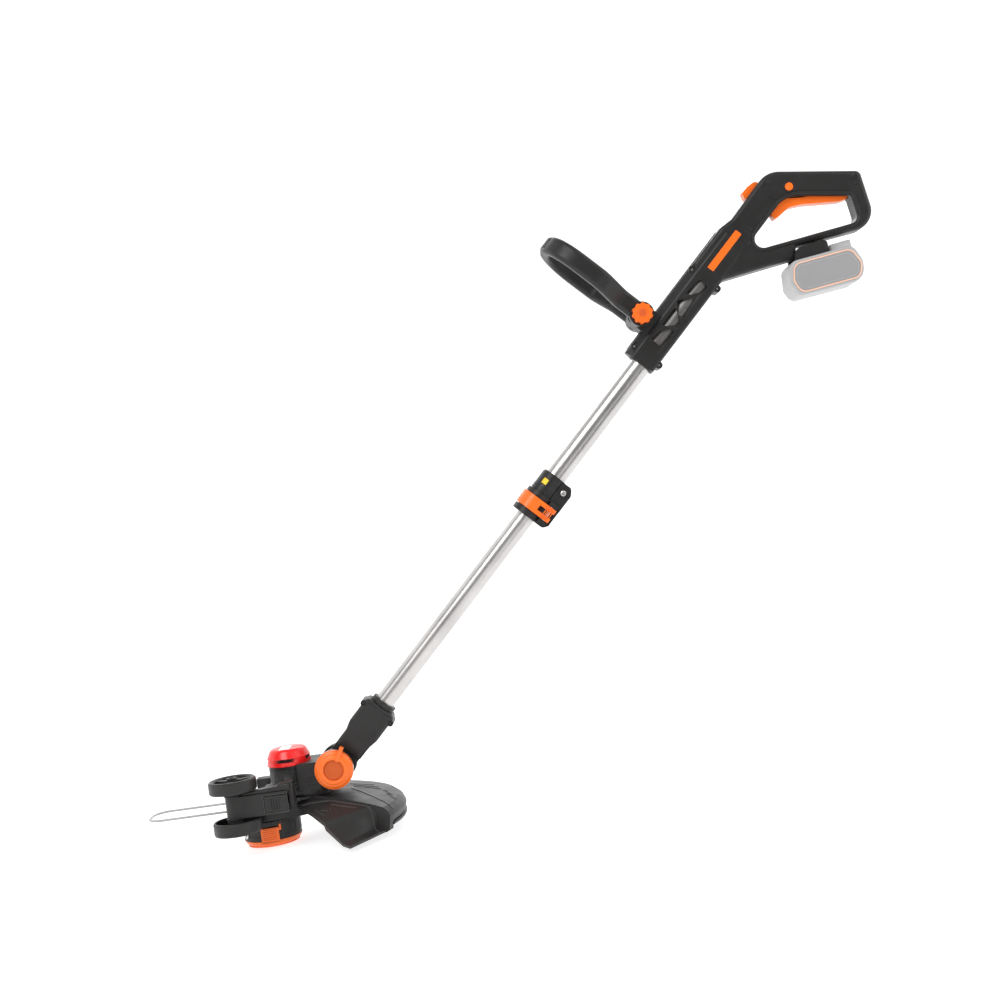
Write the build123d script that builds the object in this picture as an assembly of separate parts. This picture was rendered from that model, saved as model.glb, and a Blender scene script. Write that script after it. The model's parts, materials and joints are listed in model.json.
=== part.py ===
from build123d import *
import math
import os

# Cordless string trimmer and edger, millimetres, +Z up, +X towards the user, -Y is the user's left.
# The origin is the middle of the spool cap's underside. The head is level and the shaft leans at 45 degrees.
# Parts along the shaft are drawn in the shaft's own frame: x runs up the shaft from the tilt pivot,
# z is square to it on the front side, and y is shared. SHAFT carries them to their place.

# ---- driving dimensions -------------------------------------------------------------------------
PIVOT_X, PIVOT_Z = 94.0, 88.0          # tilt pivot of the head
SHAFT_LEAN = 45.0                      # degrees between the shaft and the head's plane
MOTOR_X = 33.0                         # motor axis, behind the spool axis by the gear centre distance
GEAR_MODULE = 1.0
GEAR_TEETH, PINION_TEETH = 52, 14
LOWER_TUBE_R, UPPER_TUBE_R, TUBE_WALL = 12.5, 14.0, 1.4
SLIDE_GAP, TURN_GAP = 0.1, 0.06        # clearance of the telescope and of a shaft in its bore
PART_GAP = 0.4                         # clearance between bodies that never touch
NECK_TOP, LOCK_LOW, LOCK_TOP = 96.0, 406.0, 468.0
SLEEVE_LOW = 652.0
AUX_L, AUX_W = 700.8, 38.7             # front handle's clamp bolt
HANDLE_HALF, SLEEVE_HALF = 17.0, 18.0  # half thickness of the grip and of the sleeve
SHELL_WALL = 2.6
WHEEL_X, WHEEL_Y, WHEEL_R = -31.0, -62.0, 30.0
CAP_R, DRUM_R, CASE_R = 37.2, 36.8, 36.0
LINE_EXITS, EYELET_R = (-143, 37), 35.4
TAB_ANGLES = (-86, 94)                 # squeeze tabs of the spool cap, degrees round the spool
BATTERY_X, BATTERY_Z, BATTERY_LEAN = 754.7, 600.6, 7.6
BATTERY_LONG, BATTERY_HIGH, BATTERY_HALF = 103.0, 50.0, 31.0
CELL_PITCH = 18.2
TRIGGER_L, TRIGGER_W = 990.5, -74.5    # trigger hinge
WIRE_X, WIRE_Z, WIRE_R = -40.0, 52.0, 1.45

SHAFT = Location((PIVOT_X, 0, PIVOT_Z), (0, -SHAFT_LEAN, 0))
BATTERY = Location((BATTERY_X, 0, BATTERY_Z), (0, -BATTERY_LEAN, 0))
HEAD = Location((0, 0, 0))
parts = {}


# ---- helpers ------------------------------------------------------------------------------------
def cyl(r, z0, z1, x=0.0, y=0.0):
    """Cylinder along Z between two heights."""
    return Pos(x, y, (z0 + z1) / 2) * Cylinder(r, z1 - z0)


def ycyl(r, x, z, y0, y1):
    """Cylinder along Y."""
    return Pos(x, (y0 + y1) / 2, z) * Rot(90, 0, 0) * Cylinder(r, y1 - y0)


def xcyl(r, x0, x1, y=0.0, z=0.0):
    """Cylinder along X."""
    return Pos((x0 + x1) / 2, y, z) * Rot(0, 90, 0) * Cylinder(r, x1 - x0)


def box(x0, x1, y0, y1, z0, z1):
    """Box between two corners."""
    return Pos((x0 + x1) / 2, (y0 + y1) / 2, (z0 + z1) / 2) * Box(x1 - x0, y1 - y0, z1 - z0)


def outline(corners):
    """Flat face from corners (a, b, radius)."""
    line = FilletPolyline(*[(a, b) for a, b, r in corners], radius=[r for a, b, r in corners], close=True)
    return make_face(line)


def side_slab(face, y0, y1):
    """A face drawn in x and z, given thickness along Y."""
    return Pos(0, y1, 0) * extrude(Plane.XZ * face, y1 - y0)


def plan_slab(face, z0, z1):
    """A face drawn in x and y, given height along Z."""
    return Pos(0, 0, z0) * extrude(face, z1 - z0)


def ring(r_out, r_in, z0, z1, x=0.0, y=0.0):
    """Tube along Z."""
    return cyl(r_out, z0, z1, x, y) - cyl(r_in, z0 - 1, z1 + 1, x, y)


def turned(profile, start=0.0, sweep=360.0, x=0.0, y=0.0):
    """Profile of (r, z) points revolved about the vertical through x, y."""
    face = make_face(Plane.XZ * Polyline(*profile, close=True))
    return Pos(x, y, 0) * Rot(0, 0, start) * revolve(face, Axis.Z, sweep)


def joined(pieces):
    """Several pieces kept as one."""
    group = pieces[0]
    for piece in pieces[1:]:
        group += piece
    return group


def across(part, radius, half, behind=-1000.0):
    """Round the edges of the two faces square to Y, where they lie past a given x."""
    low = part.edges().filter_by_position(Axis.Y, -half - 0.01, -half + 0.01)
    high = part.edges().filter_by_position(Axis.Y, half - 0.01, half + 0.01)
    return fillet([edge for edge in low + high if edge.center().X > behind], radius)


def save(name, part, place=HEAD):
    """Keep one named piece for writing."""
    parts[name] = part.moved(place)


def hull_plan(grow, z0, z1):
    """Gear case plan: a belt round the spool axis and the motor axis."""
    circles = Circle(CASE_R + grow).edges() + (Pos(MOTOR_X, 0) * Circle(29 + grow)).edges()
    return plan_slab(make_hull(circles), z0, z1)


# ---- rear handle --------------------------------------------------------------------------------
def handle_outline():
    """Closed side outline of sleeve, stem and loop grip, in shaft axes."""
    return outline([
        (652, 17, 3), (652, -14, 4), (657, -18.3, 3), (802, -18.3, 14), (880.7, -76, 5), (893.9, -67, 3),
        (979.5, -133.5, 26), (1021.3, -73.3, 8), (947.6, 22, 32), (872, 20.5, 20), (853, 25.5, 10),
        (661, 26, 4),
    ])


def grip_opening(grow=0.0):
    """Hand opening of the loop grip."""
    hole = outline([(842, -16.5, 11.4), (968.4, -112, 10), (988.5, -83.5, 5), (937.2, -16.5, 32)])
    return offset(hole, grow) if grow else hole


def sleeve_windows():
    """Four slanting windows that show the tube through the sleeve."""
    return [
        outline([(685.5, 9, 2), (700, 6, 2), (712.5, -6.5, 2), (705, -7.5, 2), (685, -6, 2)]),
        outline([(706, 9.2, 2), (737, 9.2, 2), (723, -6.8, 2), (720, -6, 2)]),
        outline([(745, 12.2, 1.5), (761, -3.5, 2), (732, -6.2, 2), (731, 0, 2)]),
        outline([(756, 9.5, 2), (783, 5.8, 2), (781.5, -7.2, 2), (771, -4.5, 2)]),
    ]


def sleeve_section():
    """Section of the sleeve: flat sides and a rounded spine on the front side."""
    half = SLEEVE_HALF
    return outline([(-half, -18.3, 5), (half, -18.3, 5), (half, 15, 5), (7, 26.2, 6), (-7, 26.2, 6),
                    (-half, 15, 5)])


def handle_body():
    """Solid outer form of the rear handle before it is hollowed."""
    loop = across(side_slab(handle_outline(), -HANDLE_HALF, HANDLE_HALF), 6.0, HANDLE_HALF)
    loop = across(loop - side_slab(grip_opening(), -30, 30), 4.0, HANDLE_HALF, 855)
    sleeve = Pos(SLEEVE_LOW + 0.5, 0, 0) * extrude(Plane.YZ * sleeve_section(), 200)
    stem = box(SLEEVE_LOW, 796, -30, 30, -60, 60)
    body = (loop - stem) + sleeve
    for bx, bz in screw_places():
        body += ycyl(4.6, bx, bz, -14, 14)
    return body


def handle_cavity():
    """Room inside the grip for the switch, board, spring and wiring."""
    room = offset(handle_outline(), -SHELL_WALL - 0.4)
    wall = grip_opening(SHELL_WALL + 0.4)
    inner = side_slab(room, -HANDLE_HALF + SHELL_WALL, HANDLE_HALF - SHELL_WALL)
    inner -= side_slab(wall, -40, 40)
    return inner - box(600, 806, -40, 40, -60, 60)


def trigger_slot():
    """Slot in the inside of the grip where the trigger comes out."""
    face = outline([(903, -3, 1), (902.5, -20, 1), (912, -26, 1), (936, -25, 3), (955, -46, 2), (982, -84, 1),
                    (991, -83, 2), (998, -77, 3), (996, -67, 3), (985, -60, 3), (960, -30, 2), (945, -10, 2),
                    (938, -3, 2)])
    return side_slab(face, -8.6, 8.6)


def build_handle():
    body = handle_body()
    body -= xcyl(UPPER_TUBE_R, 600, 801)
    body -= handle_cavity()
    body -= trigger_slot()
    for window in sleeve_windows():
        body -= side_slab(window, -30, 30)
    body -= ycyl(5.5, 948.2, -13.0, -30, 30)
    body -= feed_pocket()
    for bx, bz in screw_places():
        body -= shell_screw(bx, bz)
    left = split(body, Plane.XZ, Keep.TOP)
    right = split(body, Plane.XZ, Keep.BOTTOM)
    save("handle_shell_left", left, SHAFT)
    save("handle_shell_right", right, SHAFT)
    save("upper_tube", xcyl(UPPER_TUBE_R, 414.4, 801) - xcyl(UPPER_TUBE_R - TUBE_WALL, 400, 810), SHAFT)


def screw_places():
    """Where the two shells are screwed together."""
    return [(664.6, 21.2), (664.6, -19.0), (788.6, 21.6), (788.6, -19.2)]


def shell_screw(x, z):
    return ycyl(2.0, x, z, -13.2, 13.2)


def build_shell_screws():
    save("shell_screws", joined([shell_screw(x, z) for x, z in screw_places()]), SHAFT)


def feed_pocket():
    """Opening in the front of the grip for the line-feed button."""
    face = outline([(903, 13, 1), (933, 13, 1), (933, 30, 1), (903, 30, 1)])
    return side_slab(face, -8.5, 8.5)


def build_controls():
    feed = outline([(904.5, 16, 1), (928.5, 16, 1), (931.5, 21, 1.5), (929, 26.5, 4), (918, 29.6, 8),
                    (907.5, 29.8, 3), (904.5, 24, 1.5)])
    button = side_slab(feed, -8, 8)
    save("feed_button", button, SHAFT)
    save("lock_off_button", ycyl(5.2, 948.2, -13.0, -18.6, 18.6), SHAFT)
    blade = outline([(905.6, -24.4, 2.5), (909.8, -14.5, 1.5), (921, -13, 4), (936, -19, 8), (950, -35, 6),
                     (985, -68, 3), (994.5, -70, 3.5), (995, -78.5, 3.5), (984, -82.5, 3), (975, -76.5, 10),
                     (944, -41.5, 16), (930, -29.5, 14), (914, -26.4, 4)])
    lever = side_slab(blade, -8.2, 8.2) - ycyl(1.5 + TURN_GAP, TRIGGER_L, TRIGGER_W, -10, 10)
    save("trigger", lever, SHAFT)
    save("trigger_pin", ycyl(1.5, TRIGGER_L, TRIGGER_W, -14.4, 14.4), SHAFT)
    coil = ycyl(3.2, TRIGGER_L, TRIGGER_W, 8.8, 13) - ycyl(1.5, TRIGGER_L, TRIGGER_W, 8, 14)
    save("trigger_spring", coil, SHAFT)
    switch = outline([(952, -20, 1), (966, -18, 1), (977, -31, 1), (963.5, -37.6, 1)])
    save("switch", side_slab(switch, -6, 6), SHAFT)
    save("control_board", box(812, 850, -11, 11, -8, -5.6), SHAFT)


# ---- battery and dock ---------------------------------------------------------------------------
def build_battery():
    long, high, half = BATTERY_LONG, BATTERY_HIGH, BATTERY_HALF
    side = outline([(5.5, 20, 8), (11.5, 4, 11), (long - 4, 3, 18), (long, high * 0.55, 16),
                    (long - 8, high, 12), (10, high, 12)])
    case = across(side_slab(side, -half + 1.2, half - 1.2), 4.0, half - 1.2)
    rail = box(27, 94, -20, 20, high - 2, high + 5) + box(68, 94, -24, 24, high - 2, high + 8)
    case += rail
    core = offset(side, -2.2)
    case -= side_slab(core, -half + 4.2, half - 4.2)
    pocket = box(84, 96, -10, 10, high - 3.1, high + 9)
    case -= pocket
    panel = outline([(9, 24, 12), (15, 7, 12), (long - 9, 7, 12), (long - 3, 25, 12),
                     (long - 12, high - 4, 12), (14, high - 4, 12)])
    panels = side_slab(panel, -half, -half + 1.2) + side_slab(panel, half - 1.2, half)
    save("battery_case", case, BATTERY)
    save("battery_side_plates", panels, BATTERY)
    latch = box(84.4, 96.0, -9.6, 9.6, high - 0.7, high + 9.6)
    save("battery_latch", fillet(latch.edges().group_by(Axis.Z)[-1], 1.5), BATTERY)
    cells = [ycyl(9.0, 17.7 + CELL_PITCH * row, 24, -26.4, 26.4) for row in range(5)]
    save("battery_cells", joined(cells), BATTERY)


def build_dock():
    high = BATTERY_HIGH
    face = outline([(20, high - 2.6, 3), (64.6, high - 2.6, 1.5), (65, high + 13, 3), (60, high + 17.3, 4),
                    (27, high + 14.8, 8), (22, high + 10, 3)])
    dock = side_slab(face, -25.5, 25.5)
    dock -= box(10, 80, -20 - PART_GAP, 20 + PART_GAP, high - 10, high + 5 + PART_GAP)
    for y0, y1 in ((-26, -20), (20, 26)):
        dock -= box(10, 80, y0, y1, high - 10, high + PART_GAP)
    blades = joined([box(32, 52, y - 1, y + 1, high + 5.4, high + 9) for y in (-7, 0, 7)])
    dock = (dock - blades).moved(BATTERY) - handle_body().moved(SHAFT)
    save("battery_dock", dock)
    save("battery_terminals", blades, BATTERY)


# ---- front handle -------------------------------------------------------------------------------
def build_front_handle():
    path = FilletPolyline((0, -25, 0), (0, -25, 34), (0, -51, 66), (0, -52, 148), (0, 52, 148), (0, 51, 66),
                          (0, 25, 34), (0, 25, 0), radius=[20, 24, 44, 44, 24, 20])
    section = Plane(origin=(0, -25, 0), x_dir=(1, 0, 0), z_dir=(0, 0, 1)) * RectangleRounded(25, 15, 6)
    loop = sweep(section, path=path)
    place = Location((AUX_L, 0, AUX_W))
    loop = loop + ycyl(16, 0, 0, -32.5, -17.5) + ycyl(16, 0, 0, 17.5, 32.5)
    loop -= ycyl(4.0 + TURN_GAP, 0, 0, -40, 40)
    save("front_handle", loop, SHAFT * place)
    bracket = outline([(-15.5, -21, 1), (15.5, -21, 1), (15.5, 8, 8), (8, 15.5, 8), (-8, 15.5, 8),
                       (-15.5, 8, 8)])
    foot = side_slab(bracket, -16.9, 16.9) - ycyl(4.0, 0, 0, -40, 40)
    foot -= Pos(-60, 0, -AUX_W) * extrude(Plane.YZ * sleeve_section(), 120)
    save("front_handle_bracket", foot, SHAFT * place)
    bolt = ycyl(4.0, 0, 0, -38, 36) + ycyl(7.5, 0, 0, 33, 38)
    save("clamp_bolt", bolt, SHAFT * place)
    knob = ycyl(12.0, 0, 0, -43.5, -33)
    for step in range(10):
        a = math.radians(36 * step)
        knob += ycyl(2.6, 11.0 * math.cos(a), 11.0 * math.sin(a), -43, -33.5)
    knob -= ycyl(4.0 + TURN_GAP, 0, 0, -38.5, -30)
    save("clamp_knob", knob, SHAFT * place)


# ---- telescope and lock -------------------------------------------------------------------------
def build_lock():
    body = xcyl(17.8, 436, LOCK_TOP) + xcyl(20.4, 434.6, 440.4)
    body += xcyl(21.6, LOCK_LOW, 414) + xcyl(18.2, 414, 436)
    block = outline([(406, -12, 1), (406, -26, 6), (413, -31, 4), (461, -31, 8), (469.5, -25, 5),
                     (469, -12, 1)])
    body += side_slab(block, -15, 15)
    body += box(408, 414.4, -21.5, -12, -26, -15) + box(434.6, 440.4, -21.5, -12, -26, -15)
    body -= xcyl(UPPER_TUBE_R, 414.4, 480) + xcyl(LOWER_TUBE_R + SLIDE_GAP, 400, 420)
    body -= ycyl(2.2, 458, -20.5, -20, 20)
    hinge_y, hinge_z = lever_hinge()
    body -= box(414.6, 434.4, -40, hinge_y + 10, -40, 0) - xcyl(18.4, 400, 450)
    body -= xcyl(2.0, 409, 439, hinge_y, hinge_z)
    window = box(452, 461, -25, -13, 4, 20)
    body -= window & (xcyl(30, 440, 470) - xcyl(16.4, 440, 470))
    save("lock_collar", body, SHAFT)
    save("lock_lever", lock_lever(), SHAFT)
    save("lever_pin", xcyl(2.0, 409, 439, hinge_y, hinge_z), SHAFT)
    save("collar_screw", ycyl(2.2, 458, -20.5, -15, 14) + ycyl(3.8, 458, -20.5, -17.4, -15), SHAFT)


def lever_hinge():
    """The lock lever's hinge, beside the shaft: y and z in shaft axes."""
    return -18.0, -20.5


def lock_lever():
    """Curved cam lever that wraps the collar from the hinge round its left side to the front."""
    hinge_y, hinge_z = lever_hinge()
    x0, x1 = 415.0, 434.0
    band = xcyl(22.6, x0, x1) - xcyl(18.8, x0 - 1, x1 + 1)
    keep = Plane.YZ * make_face(Polyline((0, 0), (34, 22), (34, 40), (-40, 40), (-40, -17), (-17, -17),
                                         close=True))
    band = band & (Pos(x0 - 1, 0, 0) * extrude(keep, x1 - x0 + 2))
    arm = Plane.YZ * make_face(Polyline((-18.6, -3), (-22.4, -3), (-23.2, -24), (-21.5, -27.4),
                                        (-16.2, -27.4), (-15.5, -18.5), (-17.8, -14), (-18.8, -8),
                                        close=True))
    lever = band + Pos(x0, 0, 0) * extrude(arm, x1 - x0)
    lever -= box(x0 + 6, x1 - 6, -40, 0, -40, -6)
    return lever - xcyl(2.0 + TURN_GAP, x0 - 5, x1 + 5, hinge_y, hinge_z)


def build_lower_tube():
    tube = xcyl(LOWER_TUBE_R, 70, 640) - xcyl(LOWER_TUBE_R - TUBE_WALL, 60, 650)
    save("lower_tube", tube, SHAFT)
    collar = xcyl(16.6, 97.4, 103.5) - xcyl(LOWER_TUBE_R, 90, 110)
    save("twist_collar", collar, SHAFT)


# ---- neck ---------------------------------------------------------------------------------------
def build_neck():
    face = outline([(NECK_TOP + 0.6, 19, 4), (93, 22, 3), (58, 22, 6), (46, 18.6, 6), (8, 18.6, 1),
                    (8, -18.6, 1), (46, -19.6, 6), (58, -22.2, 6), (93, -22.2, 3),
                    (NECK_TOP + 0.6, -19, 4)])
    body = across(side_slab(face, -19.5, 19.5), 5.0, 19.5) - box(-30, 27, -30, 30, -40, 40)
    tongue_side = outline([(0, 18.4, 1), (34, 18.4, 1), (34, -18.4, 1), (0, -18.4, 1)])
    body += side_slab(tongue_side, -14.6, 14.6) + ycyl(21.4, 0, 0, -14.6, 14.6)
    for bz in (20.6, -21.6):
        body += ycyl(4.4, 87.4, bz, -18, 18)
    body -= xcyl(LOWER_TUBE_R + TURN_GAP, 69.6, 120) + ycyl(5.0 + TURN_GAP, 0, 0, -30, 30)
    body -= xcyl(8.0, 12, 90)
    for bz in (20.6, -21.6):
        body -= ycyl(2.0, 87.4, bz, -16, 16)
    save("neck_shell_left", split(body, Plane.XZ, Keep.TOP), SHAFT)
    save("neck_shell_right", split(body, Plane.XZ, Keep.BOTTOM), SHAFT)
    save("neck_screws", ycyl(2.0, 87.4, 20.6, -16, 16) + ycyl(2.0, 87.4, -21.6, -16, 16), SHAFT)


# ---- head ---------------------------------------------------------------------------------------
def build_motor_housing():
    body = hull_plan(3.0, 58, 62)
    body += cyl(27, 62, 98, MOTOR_X)
    body += turned([(20, 62), (34.5, 62), (27, 75), (20, 75)], x=MOTOR_X)
    arm = outline([(44, 58, 1), (80, 58, 8), (PIVOT_X + 4, 66, 8), (PIVOT_X, 100, 1), (46, 100, 1)])
    body += side_slab(arm, -29.5, 29.5)
    body += ycyl(23.6, PIVOT_X, PIVOT_Z, -29.5, 29.5)
    body += box(3, 40, -45, -18, 62, 78) + box(-16, 8, 16, 34, 58, 80)
    body -= cyl(23.8, 70, 88, MOTOR_X) + cyl(17.5, 62, 120, MOTOR_X) + cyl(9, 50, 70, MOTOR_X)
    body -= cyl(28.8, 98, 120, MOTOR_X)
    body -= box(60, PIVOT_X - 22, -8, 8, 64, 96)
    body -= ycyl(22.3, PIVOT_X, PIVOT_Z, -15.3, 15.3)
    body -= box(PIVOT_X - 22.3, 140, -15.3, 15.3, PIVOT_Z, 130) + box(PIVOT_X, 140, -15.3, 15.3, 50, PIVOT_Z)
    body -= ycyl(5.0 + TURN_GAP, PIVOT_X, PIVOT_Z, -40, 40)
    body -= cyl(4.0 + TURN_GAP, 50, 70)
    for x, y in guard_screw_places():
        body -= cyl(1.8, 50, 61, x, y)
    save("motor_housing", body)


def build_motor_cap():
    outer = [(0, 98.3), (28.2, 98.3), (28.4, 104), (27.6, 110), (24.5, 116), (19, 119.5), (12, 121.2),
             (0, 121.2)]
    inner = [(0, 98), (25.8, 98), (25.8, 104), (25, 109.5), (22.5, 114), (18, 117), (12, 118.8), (0, 118.8)]
    cap = turned(outer, x=MOTOR_X) - turned(inner, x=MOTOR_X)
    for angle in (-90, 0, 90, 180):
        slot = turned([(20, 103.6), (34, 103.6), (34, 107.6), (20, 107.6)], angle - 30, 60, MOTOR_X)
        cap -= slot
    save("motor_cap", cap)


def build_motor():
    can = ring(17.4, 15.4, 62.4, 97, MOTOR_X) + ring(17.4, 1.6 + TURN_GAP, 62.4, 64.4, MOTOR_X)
    can += ring(17.4, 1.6 + TURN_GAP, 95, 97, MOTOR_X)
    save("motor_can", can)
    magnets = ring(15.4, 12.6, 68, 91, MOTOR_X) - box(MOTOR_X - 20, MOTOR_X + 20, -4, 4, 60, 98)
    save("motor_magnets", magnets)
    rotor = cyl(11.8, 69, 90, MOTOR_X) + cyl(5, 90, 94, MOTOR_X)
    rotor -= cyl(1.6, 60, 100, MOTOR_X)
    for step in range(5):
        a = math.radians(72 * step)
        slot = Rot(0, 0, 72 * step) * Box(5, 2.4, 30)
        rotor -= Pos(MOTOR_X + 10.6 * math.cos(a), 10.6 * math.sin(a), 80) * slot
    save("armature", rotor)
    save("motor_shaft", cyl(1.6, 46.4, 114, MOTOR_X))
    save("pinion", gear(PINION_TEETH, 1.6, 48, 57).moved(Location((MOTOR_X, 0, 0), (0, 0, 180 / PINION_TEETH))))
    fan = ring(5, 1.6, 101, 112, MOTOR_X) + ring(21, 4.5, 101, 102.4, MOTOR_X)
    for step in range(9):
        fan += Pos(MOTOR_X, 0, 0) * Rot(0, 0, 40 * step) * Pos(12, 0, 106) * Rot(0, 0, 24) * Box(14, 1.4, 9)
    save("cooling_fan", fan)


def gear(teeth, bore, z0, z1):
    """Spur gear with straight-sided teeth, a little thinner than the spaces."""
    root = GEAR_MODULE * (teeth / 2 - 1.25)
    tip = GEAR_MODULE * (teeth / 2 + 0.9)
    pitch = 360 / teeth
    points = []
    for tooth in range(teeth):
        for radius, share in ((root, -0.33), (tip, -0.12), (tip, 0.12), (root, 0.33)):
            a = math.radians(pitch * (tooth + share))
            points.append((radius * math.cos(a), radius * math.sin(a)))
    return plan_slab(make_face(Polyline(*points, close=True)), z0, z1) - cyl(bore, z0 - 1, z1 + 1)


def build_gear_case():
    case = hull_plan(0, 34, 58) - hull_plan(-2.6, 45, 60)
    case -= cyl(11.0, 38, 50) + cyl(6.0, 30, 50)
    case += ycyl(5.4, WIRE_X, WIRE_Z, -22.4, 22.4) + box(WIRE_X, -33, -22.4, 22.4, WIRE_Z - 5.4, WIRE_Z + 5.4)
    case -= ycyl(WIRE_R + TURN_GAP, WIRE_X, WIRE_Z, -30, 30)
    save("gear_case", case - hull_plan(-2.6, 45, 60))


def build_drive():
    save("drive_gear", gear(GEAR_TEETH, 4.0, 48, 55))
    save("spindle", cyl(4.0, 14, 60))
    save("lower_bearing", ring(11.0, 6.6, 38, 45) + ring(6.0, 4.0, 38, 45) - ring(9.4, 6.4, 30, 39) - ring(
        9.4, 6.4, 44, 50) + ring(6.7, 5.9, 40, 43))


def guard_screw_places():
    """Screws that hold the guard under the motor housing's flange."""
    return [(67.5, -8.0), (67.5, 8.0), (14, 39.6), (14, -39.6)]


def build_guard():
    main = [(36, 58), (70, 57.6), (120, 50), (156, 42.4), (167.4, 39), (173.6, 34), (176.4, 28), (175, 21), (171, 15),
            (168, 15), (172, 21), (173.2, 28), (171, 32.4), (165.8, 36), (155, 39.4), (119, 47), (70, 54.6),
            (36, 55)]
    step = [(46, 57.9), (70, 57.6), (120, 50), (156, 42.4), (167.4, 39), (173.6, 34), (176.4, 28), (173, 10),
            (168, 7.4), (153.5, 9.5), (153, 36), (149, 38.5), (98, 48), (46, 54.5)]
    guard = turned(main, -21, 79) + turned(step, -24, 3.4) + deep_skirt()
    guard += hull_plan(9.0, 55, 58) - box(-60, 8, -60, 60, 50, 60)
    guard -= hull_plan(0.2, 30, 70)
    for x, y in guard_screw_places():
        guard -= cyl(1.8, 50, 60, x, y) + cyl(3.4, 45, 55, x, y)
    save("guard", guard)
    screws = [cyl(1.8, 55, 61, x, y) + cyl(3.2, 52.6, 55, x, y) for x, y in guard_screw_places()]
    save("guard_screws", joined(screws))
    blade = box(149.5, 165, 0, 1.5, 13, 30)
    save("line_cutter", blade, Location((0, 0, 0), (0, 0, -20.6)))


def deep_skirt():
    """Left part of the guard: an inset panel, a deep wall and a foot flange, lofted between two sections."""
    front = [(-14, 52), (30, 42.5), (59, 33), (63, 27.5), (98, 11), (114, 9.6), (114, 6.4), (97, 7.2), (59, 22.5),
             (56, 28), (28, 37), (-14, 46)]
    rear = [(44, 57.9), (100, 51), (151, 41.5), (156.5, 38), (156.5, 14), (168, 11), (168, 8), (153.5, 10.5),
            (153, 35), (149, 38.2), (98, 47.5), (44, 54.5)]
    front_plane = Plane(origin=(45, -35, 0), x_dir=(0.604, -0.797, 0), z_dir=(-0.797, -0.604, 0))
    rear_angle = math.radians(-23.8)
    rear_plane = Plane(origin=(0, 0, 0), x_dir=(math.cos(rear_angle), math.sin(rear_angle), 0),
                       z_dir=(math.sin(rear_angle), -math.cos(rear_angle), 0))
    ends = [front_plane * make_face(Polyline(*front, close=True)),
            rear_plane * make_face(Polyline(*rear, close=True))]
    return loft(ends, ruled=True)


def build_tilt_lock():
    pin = ycyl(5.0, PIVOT_X, PIVOT_Z, -36, 33) + ycyl(9, PIVOT_X, PIVOT_Z, 29.9, 34)
    save("tilt_pin", pin)
    knob = ycyl(24.6, PIVOT_X, PIVOT_Z, -36, -30) + ycyl(21, PIVOT_X, PIVOT_Z, -40, -36)
    knob = knob + ycyl(24.6, PIVOT_X, PIVOT_Z, -37.4, -36)
    knob -= ycyl(13, PIVOT_X, PIVOT_Z, -41, -37.4) + ycyl(5.0 + TURN_GAP, PIVOT_X, PIVOT_Z, -36.6, -20)
    pointer = Pos(PIVOT_X, 0, PIVOT_Z) * Rot(0, -63, 0) * box(12, 31, -41.2, -33, -2.6, 2.6)
    save("tilt_knob", knob + pointer)


# ---- spool --------------------------------------------------------------------------------------
def tab_face(r_in, r_out, angle, spread, z0, z1):
    """A piece of a ring, centred on an angle."""
    return turned([(r_in, z0), (r_out, z0), (r_out, z1), (r_in, z1)], angle - spread, 2 * spread)


def eyelet_place(angle):
    """Where the line leaves the drum, with Z outwards."""
    a = math.radians(angle)
    return Pos(EYELET_R * math.cos(a), EYELET_R * math.sin(a), 17) * Rot(0, 0, angle) * Rot(0, 90, 0)


def build_spool():
    drum = cyl(DRUM_R, 9.4, 33) - cyl(DRUM_R - 2.4, 5, 30.4)
    drum += cyl(8, 22, 31)
    drum -= cyl(4.0, 0, 40)
    for angle in TAB_ANGLES:
        drum -= tab_face(30, 40, angle, 19, 5, 27)
        drum -= tab_face(30, 40, angle + 21, 3, 20, 30)
    for angle in LINE_EXITS:
        drum -= eyelet_place(angle) * Cylinder(3.4, 12)
    save("spool_housing", drum)
    cap = turned([(0, 0), (29, 0), (33.6, 3), (CAP_R, 8), (CAP_R, 9), (34.1, 9), (34.1, 12), (32.6, 12), (32.6, 5),
                  (28, 2.6), (0, 2.6)])
    for angle in TAB_ANGLES:
        cap += tab_face(34.2, 38.4, angle, 17.6, 6, 25.6)
        cap += tab_face(34.6, 36.8, angle + 21, 2.2, 21, 29)
        cap += tab_face(34.6, 36.8, angle + 19.2, 3.6, 21, 24)
    save("spool_cap", cap)
    spool = ring(29.6, 8.6, 4.2, 6.2) + ring(29.6, 8.6, 24, 26) + ring(12, 8.6, 4.2, 26) + ring(8.6, 4.5, 4.2, 7)
    save("spool", spool)
    save("wound_line", ring(26.4, 12, 6.4, 23.8))
    save("spool_spring", ring(7.8, 6.6, 8, 21.6) - ring(9, 6, 10, 11) - ring(9, 6, 14, 15))
    eye = Cylinder(3.4, 4.4) + Pos(0, 0, 2.4) * Cylinder(4.4, 0.9) - Cylinder(1.7, 12)
    save("line_eyelets", joined([eyelet_place(angle) * eye for angle in LINE_EXITS]))


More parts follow.
